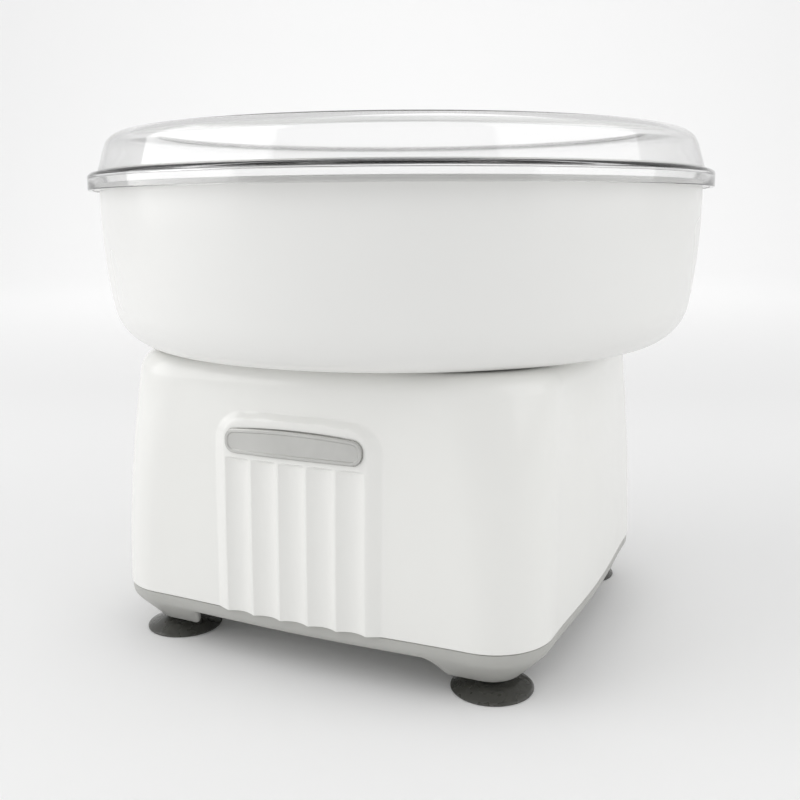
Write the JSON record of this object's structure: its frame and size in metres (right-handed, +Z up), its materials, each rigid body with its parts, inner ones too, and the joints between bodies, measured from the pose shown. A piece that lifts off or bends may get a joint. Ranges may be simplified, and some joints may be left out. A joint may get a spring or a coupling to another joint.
{
  "type": "candy floss maker",
  "caption": "Table-top candy-floss maker: rounded-square housing on suction feet, wide bowl with clear guard, motor-driven spinner head over a heating ring.",
  "frame": {"origin": "on the spin axis, on the table plane under the suction feet", "axes": "+Z up along the spin axis; the fluted front panel faces -Y; +X is to the right seen from the front"},
  "size_m": [0.3, 0.3, 0.237],
  "materials": {
    "white_plastic": "high-gloss moulded ABS",
    "grey_plastic": "satin moulded ABS",
    "clear_plastic": "clear moulded polystyrene",
    "badge_silver": "satin vacuum-metallised ABS",
    "foot_rubber": "smoky grey soft PVC",
    "black_plastic": "fine-textured nylon",
    "black_rubber": "matt rubber",
    "natural_nylon": "natural nylon",
    "circuit_board": "lacquered phenolic board",
    "lead_insulation": "silicone-rubber insulation",
    "zinc_steel": "bright zinc plate",
    "motor_steel": "nickel-plated sheet steel",
    "polished_steel": "ground steel",
    "heater_steel": "heat-darkened stainless steel",
    "aluminium": "spun aluminium",
    "bronze": "sintered bronze",
    "copper": "enamelled copper wire",
    "brass": "turned brass",
    "ferrite": "sintered ferrite and carbon",
    "ceramic": "unglazed steatite"
  },
  "bodies": {
    "stand": {"base": "grey_plastic", "suction_foot_front_left": "foot_rubber", "suction_foot_front_right": "foot_rubber", "suction_foot_rear_left": "foot_rubber", "suction_foot_rear_right": "foot_rubber", "base_screws": "zinc_steel", "housing": "white_plastic", "badge": "badge_silver", "inlet_bush": "black_plastic", "cord_clamp": "black_plastic", "cord_clamp_screws": "zinc_steel", "switch_frame": "black_plastic", "switch_leads": "lead_insulation", "terminal_block": "natural_nylon", "terminal_screws": "brass", "rectifier_board": "circuit_board", "rectifier_parts": "black_plastic", "board_screws": "zinc_steel", "motor_bracket": "zinc_steel", "motor_grommets": "black_rubber", "bracket_screws": "zinc_steel", "motor_can": "motor_steel", "motor_screws": "zinc_steel", "motor_end_cap": "black_plastic", "motor_magnets": "ferrite", "motor_brushes": "ferrite", "upper_bearing": "bronze", "lower_bearing": "bronze", "motor_leads": "lead_insulation", "reflector_dish": "aluminium", "dish_screws": "zinc_steel", "ceramic_supports": "ceramic", "heating_ring": "heater_steel", "heater_bushes": "ceramic", "heater_leads": "lead_insulation", "thermal_fuse": "zinc_steel"},
    "bowl": {"bowl": "white_plastic"},
    "splash_guard": {"splash_guard": "clear_plastic"},
    "rotor": {"motor_shaft": "polished_steel", "armature_core": "motor_steel", "armature_windings": "copper", "commutator": "copper", "cooling_fan": "natural_nylon", "drive_pin": "polished_steel"},
    "spinner_head": {"head_pan": "aluminium", "head_band": "aluminium", "head_cap": "aluminium", "head_screws": "zinc_steel"},
    "switch_rocker": {"switch_rocker": "black_plastic"}
  },
  "joints": [
    {"name": "bowl_lift", "type": "slide", "parent": "stand", "child": "bowl", "axis": [0, 0, 1], "range_m": [0, 0.08]},
    {"name": "guard_lift", "type": "slide", "parent": "bowl", "child": "splash_guard", "axis": [0, 0, 1], "range_m": [0, 0.06]},
    {"name": "head_spin", "type": "hinge", "parent": "stand", "child": "rotor", "pos_m": [0, 0, 0.1], "axis": [0, 0, 1], "continuous": true},
    {"name": "head_lift", "type": "slide", "parent": "rotor", "child": "spinner_head", "axis": [0, 0, 1], "range_m": [0, 0.02]},
    {"name": "switch_rock", "type": "hinge", "parent": "stand", "child": "switch_rocker", "pos_m": [-0.0565, 0.0851, 0.0516], "axis": [1, 0, 0], "range_deg": [0, 16]}
  ]
}
